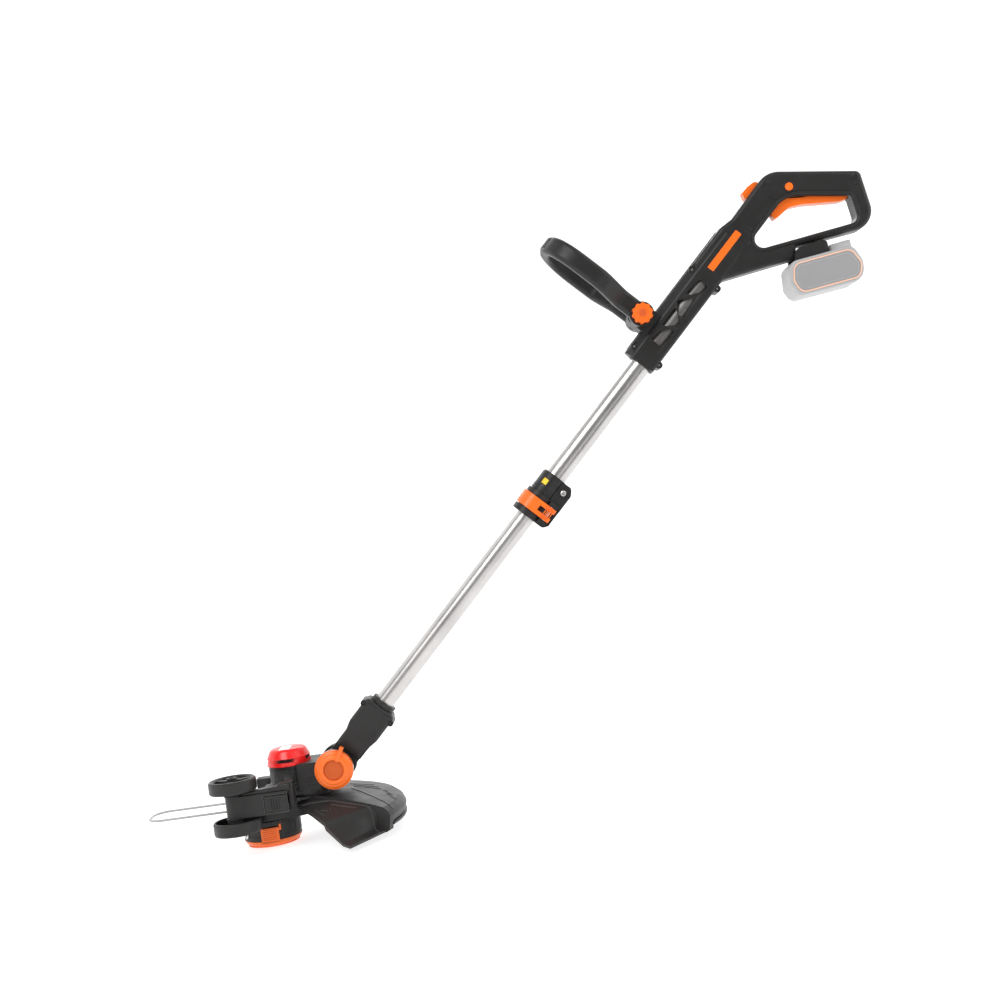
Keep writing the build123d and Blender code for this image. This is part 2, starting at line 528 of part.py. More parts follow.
# ---- edging wheels and plant guard --------------------------------------------------------------
def build_wheels():
    hub_low, hub_high = 36.6, 82.4
    arm = outline([(WHEEL_X, WHEEL_Y - 11.5, 0.5), (38, WHEEL_Y - 11.5, 4), (38, WHEEL_Y + 5, 2),
                   (36, -45.2, 1), (6, -45.2, 1), (6, WHEEL_Y + 5, 4), (WHEEL_X, WHEEL_Y + 11.4, 0.5)])
    body = cyl(11.5, hub_low, hub_high, WHEEL_X, WHEEL_Y) + plan_slab(arm, 50, 77)
    body -= cyl(4.0, 20, 90, WHEEL_X, WHEEL_Y)
    body -= box(7.6, 45, -80, WHEEL_Y - 4, 52.4, 73.4)
    body -= cyl(1.5, 48, 80, 33.5, WHEEL_Y - 7.6)
    save("wheel_bracket", body)
    lever = box(8.2, 36, WHEEL_Y - 12.6, WHEEL_Y - 9.0, 53, 72.8) + cyl(3.2, 53, 72.8, 33.5, WHEEL_Y - 7.6)
    for step in range(4):
        x = 15 + 3.2 * step
        lever += box(x, x + 1.6, WHEEL_Y - 13.8, WHEEL_Y - 12.6, 56, 69)
    lever -= cyl(1.5 + TURN_GAP, 48, 80, 33.5, WHEEL_Y - 7.6)
    save("bracket_latch", lever)
    save("latch_pin", cyl(1.5, 51, 75, 33.5, WHEEL_Y - 7.6))
    axle = cyl(4.0, 30.6, 99, WHEEL_X, WHEEL_Y) + cyl(6.5, 98.3, 100, WHEEL_X, WHEEL_Y)
    axle += cyl(6.5, 29.4, 30.7, WHEEL_X, WHEEL_Y)
    save("wheel_axle", axle)
    rim = [(27, 31), (29, 31), (WHEEL_R, 33), (WHEEL_R, 45.4), (28.8, 47), (27, 47)]
    low = turned(rim, x=WHEEL_X, y=WHEEL_Y) + cyl(27.2, 31, 34, WHEEL_X, WHEEL_Y) + cyl(9, 31, 36.2, WHEEL_X, WHEEL_Y)
    save("wheel_lower", low - cyl(4.0 + TURN_GAP, 20, 60, WHEEL_X, WHEEL_Y))
    save("wheel_upper", upper_wheel())


def upper_wheel():
    rim = [(23, 83), (29, 83), (WHEEL_R, 84.6), (WHEEL_R, 96.6), (28.4, 98.4), (25, 98.4), (23, 96.6)]
    wheel = turned(rim, x=WHEEL_X, y=WHEEL_Y) + cyl(24, 83, 86, WHEEL_X, WHEEL_Y) + cyl(9, 82.8, 97.9, WHEEL_X, WHEEL_Y)
    for step in range(3):
        wheel += Pos(WHEEL_X, WHEEL_Y, 0) * Rot(0, 0, 30 + 120 * step) * box(6, 24, -3.4, 3.4, 84, 96.6)
    return wheel - cyl(4.0 + TURN_GAP, 70, 110, WHEEL_X, WHEEL_Y)


def build_plant_guard():
    reach, half = 114.0, 28.0
    path = FilletPolyline((0, -14, 0), (0, -half, 0), (-reach, -half, 0), (-reach, half, 0), (0, half, 0),
                          (0, 14, 0), radius=[5, 20, 20, 5])
    section = Plane(origin=(0, -14, 0), z_dir=(0, -1, 0)) * Circle(WIRE_R)
    save("plant_guard", sweep(section, path=path), Location((WIRE_X, 0, WIRE_Z)))


def main():
    build_handle()
    build_shell_screws()
    build_controls()
    build_battery()
    build_dock()
    build_front_handle()
    build_lock()
    build_lower_tube()
    build_neck()
    build_motor_housing()
    build_motor_cap()
    build_motor()
    build_gear_case()
    build_drive()
    build_guard()
    build_tilt_lock()
    build_spool()
    build_wheels()
    build_plant_guard()
    os.makedirs("parts", exist_ok=True)
    for name, part in parts.items():
        export_step(part, "parts/" + name + ".step")


main()
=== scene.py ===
import json
import math

import bmesh
import bpy
from mathutils import Matrix, Vector

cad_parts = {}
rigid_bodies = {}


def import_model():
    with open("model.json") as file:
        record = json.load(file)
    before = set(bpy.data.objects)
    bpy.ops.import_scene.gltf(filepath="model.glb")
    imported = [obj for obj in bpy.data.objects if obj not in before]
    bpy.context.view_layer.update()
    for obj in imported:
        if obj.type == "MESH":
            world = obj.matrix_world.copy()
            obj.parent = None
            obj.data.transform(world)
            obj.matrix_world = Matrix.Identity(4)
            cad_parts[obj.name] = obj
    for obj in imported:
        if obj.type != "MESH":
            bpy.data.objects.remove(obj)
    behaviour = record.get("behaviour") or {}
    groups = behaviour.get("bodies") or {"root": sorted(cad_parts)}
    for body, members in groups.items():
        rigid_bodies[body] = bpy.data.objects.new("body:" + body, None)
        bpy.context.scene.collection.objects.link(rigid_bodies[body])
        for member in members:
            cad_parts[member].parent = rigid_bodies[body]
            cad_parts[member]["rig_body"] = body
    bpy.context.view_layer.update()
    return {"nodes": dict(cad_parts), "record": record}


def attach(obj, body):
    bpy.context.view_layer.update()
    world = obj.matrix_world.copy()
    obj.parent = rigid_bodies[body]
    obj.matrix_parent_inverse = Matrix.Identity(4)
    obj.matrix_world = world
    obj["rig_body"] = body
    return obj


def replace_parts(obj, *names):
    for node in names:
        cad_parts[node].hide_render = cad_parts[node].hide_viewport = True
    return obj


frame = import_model()
scene = bpy.context.scene
MM = 0.001
SHARP_ANGLE = math.radians(32)
PLASTIC_EDGE, METAL_EDGE = 0.0007, 0.0003


# ---- materials ----------------------------------------------------------------------------------
def tree(name):
    """A new material and shortcuts to make and join its nodes."""
    mat = bpy.data.materials.new(name)
    mat.use_nodes = True
    nodes = mat.node_tree.nodes
    nodes.clear()
    out = nodes.new("ShaderNodeOutputMaterial")
    shader = nodes.new("ShaderNodeBsdfPrincipled")
    mat.node_tree.links.new(shader.outputs["BSDF"], out.inputs["Surface"])
    return mat, nodes, mat.node_tree.links, shader


def noise(nodes, links, scale, detail=4.0, grain=(0.0, (1, 1, 1))):
    """Noise in object space, with scale in features per metre.

    Grain is its lean in degrees and its stretch."""
    where = nodes.new("ShaderNodeTexCoord")
    place = nodes.new("ShaderNodeMapping")
    place.vector_type = "TEXTURE"
    place.inputs["Rotation"].default_value = (0, math.radians(grain[0]), 0)
    place.inputs["Scale"].default_value = grain[1]
    links.new(where.outputs["Object"], place.inputs["Vector"])
    tex = nodes.new("ShaderNodeTexNoise")
    tex.inputs["Scale"].default_value = scale
    tex.inputs["Detail"].default_value = detail
    tex.inputs["Roughness"].default_value = 0.55
    links.new(place.outputs["Vector"], tex.inputs["Vector"])
    return tex.outputs["Fac"]


def ramp(nodes, links, source, low, high, at=(0.3, 0.7)):
    """Maps a value from 0-1 to a range between two numbers or two colours."""
    if isinstance(low, (int, float)):
        node = nodes.new("ShaderNodeMapRange")
        node.inputs["From Min"].default_value, node.inputs["From Max"].default_value = at
        node.inputs["To Min"].default_value, node.inputs["To Max"].default_value = low, high
        links.new(source, node.inputs["Value"])
        return node.outputs["Result"]
    node = nodes.new("ShaderNodeValToRGB")
    node.color_ramp.elements[0].position, node.color_ramp.elements[1].position = at
    node.color_ramp.elements[0].color = (*low, 1)
    node.color_ramp.elements[1].color = (*high, 1)
    links.new(source, node.inputs["Fac"])
    return node.outputs["Color"]


def rounded(nodes, radius):
    """Normal that is rounded near edges."""
    soft = nodes.new("ShaderNodeBevel")
    soft.samples = 3
    soft.inputs["Radius"].default_value = radius
    return soft


def edge_mask(nodes, links, soft):
    """1 on rounded edges and 0 on flats, from how far the rounded normal leaves the true one."""
    true = nodes.new("ShaderNodeNewGeometry")
    dot = nodes.new("ShaderNodeVectorMath")
    dot.operation = "DOT_PRODUCT"
    links.new(soft.outputs["Normal"], dot.inputs[0])
    links.new(true.outputs["Normal"], dot.inputs[1])
    return ramp(nodes, links, dot.outputs["Value"], 1.0, 0.0, (0.75, 0.98))


def mix(nodes, links, fac, a, b):
    """Colour a where fac is 0 and b where it is 1."""
    node = nodes.new("ShaderNodeMix")
    node.data_type = "RGBA"
    links.new(fac, node.inputs["Factor"])
    links.new(a, node.inputs["A"])
    if isinstance(b, tuple):
        node.inputs["B"].default_value = (*b, 1)
    else:
        links.new(b, node.inputs["B"])
    return node.outputs["Result"]


def bumped(nodes, links, shader, height, distance, strength, soft):
    """Bump over a normal rounded at the edges."""
    bump = nodes.new("ShaderNodeBump")
    bump.inputs["Strength"].default_value = strength
    bump.inputs["Distance"].default_value = distance
    links.new(height, bump.inputs["Height"])
    links.new(soft.outputs["Normal"], bump.inputs["Normal"])
    links.new(bump.outputs["Normal"], shader.inputs["Normal"])


def plastic(name, colour, rough=(0.34, 0.46), grain=2600, depth=0.00006, spread=0.12, worn=None,
            coat=0.0, sheen=0.0, gloss=0.32):
    """Moulded plastic: fine texture, slow change of tone, gloss that varies, and paler worn edges."""
    mat, nodes, links, shader = tree(name)
    slow = noise(nodes, links, 18, 5)
    soft = rounded(nodes, PLASTIC_EDGE)
    low = tuple(c * (1 - spread) for c in colour)
    high = tuple(min(1.0, c * (1 + spread)) for c in colour)
    tone = ramp(nodes, links, slow, low, high)
    if worn:
        fleck = noise(nodes, links, 420, 3)
        edge = edge_mask(nodes, links, soft)
        gate = nodes.new("ShaderNodeMath")
        gate.operation = "MULTIPLY"
        links.new(edge, gate.inputs[0])
        links.new(ramp(nodes, links, fleck, 0.15, 0.8, (0.4, 0.62)), gate.inputs[1])
        tone = mix(nodes, links, gate.outputs["Value"], tone, worn)
    links.new(tone, shader.inputs["Base Color"])
    links.new(ramp(nodes, links, noise(nodes, links, 55, 6), *rough), shader.inputs["Roughness"])
    bumped(nodes, links, shader, noise(nodes, links, grain, 3), depth, 0.55, soft)
    shader.inputs["IOR"].default_value = 1.5
    shader.inputs["Specular IOR Level"].default_value = gloss
    shader.inputs["Coat Weight"].default_value = coat
    shader.inputs["Coat Roughness"].default_value = 0.12
    shader.inputs["Sheen Weight"].default_value = sheen
    shader.inputs["Sheen Roughness"].default_value = 0.45
    return mat


def metal(name, colour, rough=(0.22, 0.38), brushing=(0.0, (1, 1, 1)), scale=900, depth=0.00003):
    """Bare metal with brushing along one direction."""
    mat, nodes, links, shader = tree(name)
    slow = noise(nodes, links, 25, 4)
    tone = ramp(nodes, links, slow, tuple(c * 0.9 for c in colour), tuple(min(1, c * 1.06) for c in colour))
    links.new(tone, shader.inputs["Base Color"])
    brushed = noise(nodes, links, scale, 4, brushing)
    links.new(ramp(nodes, links, brushed, *rough), shader.inputs["Roughness"])
    bumped(nodes, links, shader, brushed, depth, 0.4, rounded(nodes, METAL_EDGE))
    shader.inputs["Metallic"].default_value = 1.0
    return mat


DARK = (0.019, 0.0182, 0.0178)
WORN = (0.06, 0.058, 0.056)
M = {
    "shell_black": plastic("shell_black", DARK, worn=WORN),
    "head_black": plastic("head_black", (0.021, 0.02, 0.0195), worn=WORN, rough=(0.36, 0.5)),
    "grip_black": plastic("grip_black", (0.014, 0.0136, 0.0134), rough=(0.5, 0.62), grain=1500,
                          depth=0.00012, sheen=0.15, worn=(0.04, 0.039, 0.038)),
    "orange": plastic("orange", (0.9, 0.155, 0.014), rough=(0.26, 0.36), spread=0.05, coat=0.2,
                      worn=(0.95, 0.27, 0.07)),
    "red": plastic("red", (0.83, 0.012, 0.012), rough=(0.2, 0.3), spread=0.05, coat=0.3,
                   worn=(1.0, 0.12, 0.1)),
    "battery_grey": plastic("battery_grey", (0.42, 0.42, 0.425), rough=(0.38, 0.5), spread=0.04,
                            worn=(0.75, 0.75, 0.75)),
    "battery_plate": plastic("battery_plate", (0.3, 0.3, 0.305), rough=(0.3, 0.42), spread=0.03,
                             worn=(0.6, 0.6, 0.6)),
    "tube": metal("tube", (0.56, 0.545, 0.535), rough=(0.3, 0.35), brushing=(-45, (60, 1, 1)), scale=2200,
                  depth=0.000004),
    # Darker, rougher tube metal: painted shade on the tube where the window recesses keep its reflections
    # off.
    "tube_painted_shade": metal("tube_painted_shade", (0.24, 0.232, 0.228), rough=(0.42, 0.48), brushing=(-45, (60, 1, 1)),
                       scale=2200, depth=0.000004),
    "mark_yellow": plastic("mark_yellow", (0.86, 0.58, 0.02), rough=(0.3, 0.4), spread=0.03),
    "steel": metal("steel", (0.62, 0.61, 0.6)),
    "cell": plastic("cell", (0.1, 0.3, 0.14), coat=0.4),
    "contact": metal("contact", (0.85, 0.6, 0.28)),
    "board": plastic("board", (0.03, 0.16, 0.06), coat=0.5),
    "winding": metal("winding", (0.8, 0.38, 0.16), brushing=(0, (1, 1, 10))),
    "line": plastic("line", (0.95, 0.3, 0.04), rough=(0.2, 0.3)),
    "rim_peach": plastic("rim_peach", (1.0, 0.56, 0.38), spread=0.03),
    "knob_mark": plastic("knob_mark", (0.62, 0.1, 0.02), rough=(0.3, 0.4), spread=0.05),
    # Paler black: the screw heads' own dark grey, and a painted highlight on the guard's lines and corner,
    # the motor collar, the latch frame and the wheel edges.
    "dark_grey_and_highlight": plastic("dark_grey_and_highlight", (0.05, 0.048, 0.047), rough=(0.3, 0.4), worn=(0.1, 0.098, 0.096)),
    # Darker orange for the tilt knob's sunk face: painted shade of the recess.
    "orange_painted_shade": plastic("orange_painted_shade", (0.56, 0.095, 0.012), rough=(0.4, 0.5), grain=900, depth=0.0002,
                           spread=0.08),
    "patch_white": plastic("patch_white", (0.7, 0.7, 0.7), spread=0.03),
    "wire": plastic("wire", (0.36, 0.36, 0.355), rough=(0.2, 0.3), spread=0.03, coat=0.3),
}


# ---- frames of the tool's parts: matrices from their millimetres to metres ----------------------
TILT = Vector((94, 0, 88))
LEAN = math.radians(7.6)
HEAD = Matrix.Scale(MM, 4)
SHAFT = HEAD @ Matrix.Translation(TILT) @ Matrix.Rotation(math.radians(-45), 4, "Y")
BATTERY = HEAD @ Matrix.Translation((754.7, 0, 600.6)) @ Matrix.Rotation(-LEAN, 4, "Y")
CLAMP = SHAFT @ Matrix.Translation((700.8, 0, 38.7))
PIVOT = HEAD @ Matrix.Translation(TILT)
QUARTER_X = Matrix.Rotation(math.radians(90), 4, "X")
QUARTER_Y = Matrix.Rotation(math.radians(90), 4, "Y")
MOTOR_X = 33
WHEEL_AXIS = {"x": -31, "y": -62}


# ---- mesh kit -----------------------------------------------------------------------------------
def rounded_outline(corners, steps=6):
    """Points of a closed outline from corners (a, b, radius)."""
    points = []
    count = len(corners)
    for k, (a, b, radius) in enumerate(corners):
        here = Vector((a, b))
        before = Vector(corners[k - 1][:2])
        after = Vector(corners[(k + 1) % count][:2])
        u, v = (before - here).normalized(), (after - here).normalized()
        angle = u.angle(v)
        reach = radius / math.tan(angle / 2)
        if radius < 0.05 or angle > 3.1:
            points.append(here)
            continue
        middle = here + (u + v).normalized() * (radius / math.sin(angle / 2))
        first, last = here + u * reach - middle, here + v * reach - middle
        turn = first.angle_signed(last)
        for step in range(steps + 1):
            points.append(middle + Matrix.Rotation(-turn * step / steps, 2) @ first)
    return points


def grown(points, distance):
    """A closed outline moved outwards."""
    count = len(points)
    area = sum(points[k - 1].x * points[k].y - points[k].x * points[k - 1].y for k in range(count))
    side = 1 if area > 0 else -1
    moved = []
    for k in range(count):
        u = (points[k] - points[k - 1]).normalized()
        v = (points[(k + 1) % count] - points[k]).normalized()
        n = Vector((u.y + v.y, -u.x - v.x)).normalized() * side
        moved.append(points[k] + n * distance / max(0.5, math.cos(u.angle(v, 0) / 2)))
    return moved


def stroke(points, width):
    """Closed outline of a line of that width."""
    points = [Vector(p) for p in points]
    left, right = [], []
    for k, p in enumerate(points):
        ahead = (points[min(k + 1, len(points) - 1)] - points[max(k - 1, 0)]).normalized()
        n = Vector((-ahead.y, ahead.x)) * width / 2
        left.append(p + n)
        right.append(p - n)
    return left + right[::-1]


class Kit:
    """Gathers simple solids, in millimetres, into one mesh."""

    def __init__(self):
        self.bm = bmesh.new()

    def loops(self, rings, closed=True):
        """Skin a list of rings of points, which joins up with itself or has an end face on each end."""
        rows = [[self.bm.verts.new(p) for p in ring] for ring in rings]
        pairs = list(zip(rows, rows[1:]))
        if closed:
            pairs.append((rows[-1], rows[0]))
        count = len(rows[0])
        for low, high in pairs:
            for k in range(count):
                self.bm.faces.new((low[k], low[(k + 1) % count], high[(k + 1) % count], high[k]))
        if not closed:
            self.bm.faces.new(rows[0][::-1])
            self.bm.faces.new(rows[-1])
        return self

    def prism(self, outline, y0, y1, inset=0.0):
        """Outline in x and z with thickness along y, with both outer edges cut back by inset."""
        ends = [(y0, 0), (y1, 0)]
        if inset:
            ends = [(y0, -inset), (y0 + inset, 0), (y1 - inset, 0), (y1, -inset)]
        rings = [[(p.x, y, p.y) for p in (grown(outline, d) if d else outline)] for y, d in ends]
        return self.loops(rings, closed=False)

    def slab(self, outline, z0, z1, inset=0.0):
        """Outline in x and y with height along z."""
        ends = [(z0, 0), (z1 - inset, 0), (z1, -inset)] if inset else [(z0, 0), (z1, 0)]
        rings = [[(p.x, p.y, z) for p in (grown(outline, d) if d else outline)] for z, d in ends]
        return self.loops(rings, closed=False)

    def frame_ring(self, outline, inner, outer, y0, y1):
        """Ring between two offsets of an outline, with thickness along y."""
        a, b = grown(outline, inner), grown(outline, outer)
        rings = [[(p.x, y, p.y) for p in line] for line, y in ((a, y0), (b, y0), (b, y1), (a, y1))]
        return self.loops(rings)

    def turned(self, profile, x=0.0, y=0.0, steps=48, start=0.0, sweep=360.0):
        """Closed profile of (r, z) points turned about a vertical axis."""
        full = sweep >= 360
        count = steps if full else steps + 1
        rings = []
        for k in range(count):
            a = math.radians(start + sweep * k / steps)
            rings.append([(x + r * math.cos(a), y + r * math.sin(a), z) for r, z in profile])
        return self.loops(rings, closed=full)

    def disc(self, profile, x=0.0, y=0.0, steps=40):
        """Solid turned shape whose profile (r, z) starts and ends on the axis, bottom first."""
        low = self.bm.verts.new((x, y, profile[0][1]))
        high = self.bm.verts.new((x, y, profile[-1][1]))
        rows = []
        for r, z in profile[1:-1]:
            angles = [2 * math.pi * k / steps for k in range(steps)]
            rows.append([self.bm.verts.new((x + r * math.cos(a), y + r * math.sin(a), z)) for a in angles])
        for a, b in zip(rows, rows[1:]):
            for k in range(steps):
                self.bm.faces.new((a[k], a[(k + 1) % steps], b[(k + 1) % steps], b[k]))
        for k in range(steps):
            self.bm.faces.new((low, rows[0][(k + 1) % steps], rows[0][k]))
            self.bm.faces.new((high, rows[-1][k], rows[-1][(k + 1) % steps]))
        return self

    def block(self, x0, x1, y0, y1, z0, z1):
        """Box between two corners."""
        corners = [Vector((x0, y0)), Vector((x1, y0)), Vector((x1, y1)), Vector((x0, y1))]
        return self.slab(corners, z0, z1)

    def pipe(self, points, radius, steps=10):
        """Round bar along points."""
        points = [Vector(p) for p in points]
        rings = []
        side = None
        for k, p in enumerate(points):
            ahead = (points[min(k + 1, len(points) - 1)] - points[max(k - 1, 0)]).normalized()
            side = ahead.orthogonal() if side is None else side - ahead * side.dot(ahead)
            side.normalize()
            up = ahead.cross(side)
            rings.append([p + (side * math.cos(t) + up * math.sin(t)) * radius
                          for t in (2 * math.pi * j / steps for j in range(steps))])
        return self.loops(rings, closed=False)

    def add(self, other, matrix=Matrix.Identity(4)):
        mesh = bpy.data.meshes.new("part")
        other.bm.to_mesh(mesh)
        mesh.transform(matrix)
        self.bm.from_mesh(mesh)
        bpy.data.meshes.remove(mesh)
        return self

    def mesh(self, name, place):
        bmesh.ops.recalc_face_normals(self.bm, faces=self.bm.faces)
        mesh = bpy.data.meshes.new(name)
        self.bm.to_mesh(mesh)
        self.bm.free()
        mesh.transform(place)
        return mesh


def shaded(obj):
    """Smooth shading that keeps the sharp edges, with normals led by the large faces."""
    for polygon in obj.data.polygons:
        polygon.use_smooth = True
    obj.data.set_sharp_from_angle(angle=SHARP_ANGLE)
    weighted = obj.modifiers.new("weighted", "WEIGHTED_NORMAL")
    weighted.keep_sharp = True
    weighted.weight = 80


def shown(name, mesh, body, look):
    """A finished piece that rides on a body."""
    obj = bpy.data.objects.new(name, mesh)
    scene.collection.objects.link(obj)
    mesh.materials.clear()
    mesh.materials.append(M[look])
    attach(obj, body)
    shaded(obj)
    return obj


def piece(name, kit, body, look, place=HEAD, bevel=0.0):
    """A kit made into a piece, with its edges rounded when a bevel is given."""
    obj = shown(name, kit.mesh(name, place), body, look)
    if bevel:
        soft = obj.modifiers.new("bevel", "BEVEL")
        soft.width = bevel * MM
        soft.segments = 2
        soft.limit_method = "ANGLE"
        soft.angle_limit = math.radians(35)
        obj.modifiers.move(1, 0)
    return obj


def boolean(mesh, steps, crossing=False):
    """Apply cuts or intersections, given as (operation, mesh), to a mesh.

    Crossing says that a mesh's own solids may cross each other."""
    obj = bpy.data.objects.new("work", mesh)
    scene.collection.objects.link(obj)
    tools = []
    for operation, tool_mesh in steps:
        tool = bpy.data.objects.new("tool", tool_mesh)
        scene.collection.objects.link(tool)
        tools.append(tool)
        cut = obj.modifiers.new("cut", "BOOLEAN")
        cut.operation = operation
        cut.solver = "EXACT"
        cut.object = tool
        cut.use_self = crossing
    bpy.context.view_layer.update()
    result = bpy.data.meshes.new_from_object(obj.evaluated_get(bpy.context.evaluated_depsgraph_get()))
    for extra in tools + [obj]:
        bpy.data.objects.remove(extra)
    return result


def welded(node):
    """A copy of a CAD node's mesh with its split vertices joined."""
    bm = bmesh.new()
    bm.from_mesh(frame["nodes"][node].data)
    bmesh.ops.remove_doubles(bm, verts=bm.verts, dist=0.000002)
    mesh = bpy.data.meshes.new(node + "_copy")
    bm.to_mesh(mesh)
    bm.free()
    return mesh


def carved(node, kits, place):
    """A CAD node with finer detail cut into it, which stands for the node."""
    mesh = boolean(welded(node), [("DIFFERENCE", kit.mesh("tool", place)) for kit in kits])
    obj = shown(node + "_moulded", mesh, frame["nodes"][node]["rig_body"], slots[node])
    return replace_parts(obj, node)


def raised(name, node, kit, lift, look):
    mesh = welded(node)
    mesh.transform(Matrix.Translation(Vector((0, 0, lift)) * MM))
    mesh = boolean(mesh, [("INTERSECT", kit.mesh("tool", HEAD))])
    return shown(name, mesh, frame["nodes"][node]["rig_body"], look)


def finished(node, look):
    """Show a CAD node in another finish than its slot's."""
    frame["nodes"][node].data.materials[0] = M[look]


slots = {p["node"]: p["material_slot"] for p in frame["record"]["subparts"]}
for node, obj in frame["nodes"].items():
    obj.data.materials.clear()
    obj.data.materials.append(M[slots[node]])


# ---- shapes shared with the CAD part, in millimetres --------------------------------------------
GRIP_HOLE = rounded_outline([(842, -16.5, 11.4), (968.4, -112, 10), (988.5, -83.5, 5),
                             (937.2, -16.5, 32)])
WINDOWS = [rounded_outline(corners) for corners in (
    [(685.5, 9, 2), (700, 6, 2), (712.5, -6.5, 2), (705, -7.5, 2), (685, -6, 2)],
    [(706, 9.2, 2), (737, 9.2, 2), (723, -6.8, 2), (720, -6, 2)],
    [(745, 12.2, 1.5), (761, -3.5, 2), (732, -6.2, 2), (731, 0, 2)],
    [(756, 9.5, 2), (783, 5.8, 2), (781.5, -7.2, 2), (771, -4.5, 2)])]
BOSSES = ((664.6, 21.2), (664.6, -19.0), (788.6, 21.6), (788.6, -19.2))
NECK_SCREWS = ((87.4, 20.6), (87.4, -21.6))
COLLAR_SCREW = (458, -20.5)
LOCK_OFF = (948.2, -13.0)
SHELL_FACE, SLEEVE_FACE = 17.0, 18.0
KNOB_FACE = -43.5
DARK_PINS = ("wheel_axle", "latch_pin", "tilt_pin")
SIDES = (("left", -1), ("right", 1))


def facing(matrix, x, y, z, side):
    """A matrix whose Z points to the left or right of the tool, at a place in another frame."""
    return matrix @ Matrix.Translation((x, y, z)) @ Matrix.Rotation(math.radians(-90 * side), 4, "X")


def screw_head(radius, height=1.4):
    """Pan head with a six-sided socket, standing on z 0."""
    kit = Kit()
    socket = radius * 0.46
    profile = [(socket * 0.9, height - 0.9), (socket, height - 0.1), (radius * 0.72, height),
               (radius * 0.93, height * 0.72), (radius, height * 0.3), (radius, -0.6)]
    steps = 36
    rows = []
    for r, z in profile:
        row = []
        for k in range(steps):
            a = 2 * math.pi * k / steps
            star = 1 + 0.13 * math.cos(6 * a) if r <= socket else 1
            row.append((r * star * math.cos(a), r * star * math.sin(a), z))
        rows.append(row)
    return kit.loops(rows, closed=False)


# ---- rear handle --------------------------------------------------------------------------------
def recess(radius, low, high, x, y, z):
    """Round cutter along y for a screw, with its place in the shaft's frame."""
    profile = [(0.01, low), (radius, low), (radius, high), (0.01, high)]
    return Kit().turned(profile), Matrix.Translation((x, y, z)) @ QUARTER_X


def handle_cuts(side):
    """Grooves, stepped window frames and screw recesses of one handle shell.

    Solids in one kit may not touch, so neighbouring windows alternate between two kits."""
    steps, steps_even, holes, holes_even, seams = Kit(), Kit(), Kit(), Kit(), Kit()
    face, sleeve = SHELL_FACE * side, SLEEVE_FACE * side

    def span(surface, depth):
        return sorted((surface + 1.5 * side, surface - depth * side))

    for k, window in enumerate(WINDOWS):
        (steps_even if k % 2 else steps).prism(grown(window, 1.4), *span(sleeve, 0.9))
        (holes_even if k % 2 else holes).prism(grown(window, 0.6), *span(sleeve, 6.5))
    steps.frame_ring(GRIP_HOLE, 5.2, 5.9, *span(face, 0.7))
    for surface, depth, line in (
            (face, 0.7, [(944.5, 16.5), (930, 13.4), (923, 8), (922, -3), (926, -11.3)]),
            (face, 0.7, [(1012, -66), (1004.5, -70), (1001, -76), (1003.5, -83)]),
            (sleeve, 1.3, [(852.9, -16.6), (806, -17.2), (803.4, -18.9)])):
        seams.prism(stroke(line, 0.8), *span(surface, depth))
    for x, z in BOSSES:
        steps.add(*recess(2.9, -2, 2, x, 14 * side, z))
    return [steps, steps_even, holes, holes_even, seams]


def rear_handle():
    """Shells, screws, grip edge, stripe and buttons, a darker metal wrap on the tube inside the windows that
    paints the shade of the window recesses, and the sleeve's spine and mouth.
    """
    for word, side in SIDES:
        carved("handle_shell_" + word, handle_cuts(side), SHAFT)
        heads = Kit()
        for x, z in BOSSES:
            heads.add(screw_head(2.7, 1.2), facing(Matrix.Identity(4), x, 12.2 * side, z, side))
        piece("shell_screw_heads_" + word, heads, "handle", "dark_grey_and_highlight", SHAFT)
        pad = Kit().frame_ring(GRIP_HOLE, 2.6, 4.9, *sorted((17.25 * side, 14.6 * side)))
        piece("grip_edge_" + word, pad, "handle", "grip_black", SHAFT, bevel=0.9)
        corners = ((802, -1.6), (802, 7.9), (862.5, 7.9), (862.5, -1.6))
        stripe = rounded_outline([(x, z, 1.2) for x, z in corners])
        piece("side_stripe_" + word, Kit().prism(stripe, *sorted((18.5 * side, 16.4 * side)), 0.25),
              "handle", "orange", SHAFT)
        collar = Kit().turned([(5.5, -0.6), (7.4, -0.6), (7.2, 0.5), (6.7, 0.8), (5.8, 0.5), (5.5, 0)])
        x, z = LOCK_OFF
        piece("lock_off_rim_" + word, collar, "handle", "shell_black",
              facing(SHAFT, x, 17.2 * side, z, side))
        dish = Kit().turned([(0.01, 0.15), (2.4, 0.2), (4.0, 0.6), (4.8, 0.7), (5.15, 0.3), (5.15, -0.4),
                             (0.01, -0.4)])
        piece("lock_off_face_" + word, dish, "lock_off_button", "orange",
              facing(SHAFT, x, 18.6 * side, z, side))
    ribs = Kit()
    rib = rounded_outline([(0, 0, 0.5), (1.5, 0, 0.5), (1.5, 1.5, 0.7), (0, 1.5, 0.7)], 3)
    for step in range(5):
        height = 29.0 - 0.55 * step - 0.06 * step ** 2
        ribs.add(Kit().prism(rib, -6.2, 6.2), Matrix.Translation((907.3 + 3.6 * step, 0, height)))
    piece("feed_button_ribs", ribs, "feed_button", "orange", SHAFT, bevel=0.25)
    # Dark metal shell round the tube inside the windows: painted shade, since the recess blocks the tube's
    # reflections.
    wrap = Kit().turned([(14.02, 683), (14.3, 683.3), (14.3, 785.7), (14.02, 786)])
    piece("tube_painted_shade_wrap", wrap, "handle", "tube_painted_shade", SHAFT @ QUARTER_Y)
    spine = Kit()
    spine.slab(rounded_outline([(657, -5.4, 2), (657, 5.4, 2), (848, 5.4, 3), (848, -5.4, 3)]),
               25.4, 26.9, 0.5)
    piece("sleeve_spine", spine, "handle", "shell_black", SHAFT)
    lip = Kit().turned([(14.05, -0.8), (16.4, -0.8), (17.2, 0.2), (17.2, 1.6), (14.05, 1.6)])
    piece("sleeve_mouth", lip, "handle", "shell_black",
          SHAFT @ Matrix.Translation((651.4, 0, 0)) @ QUARTER_Y, bevel=0.3)


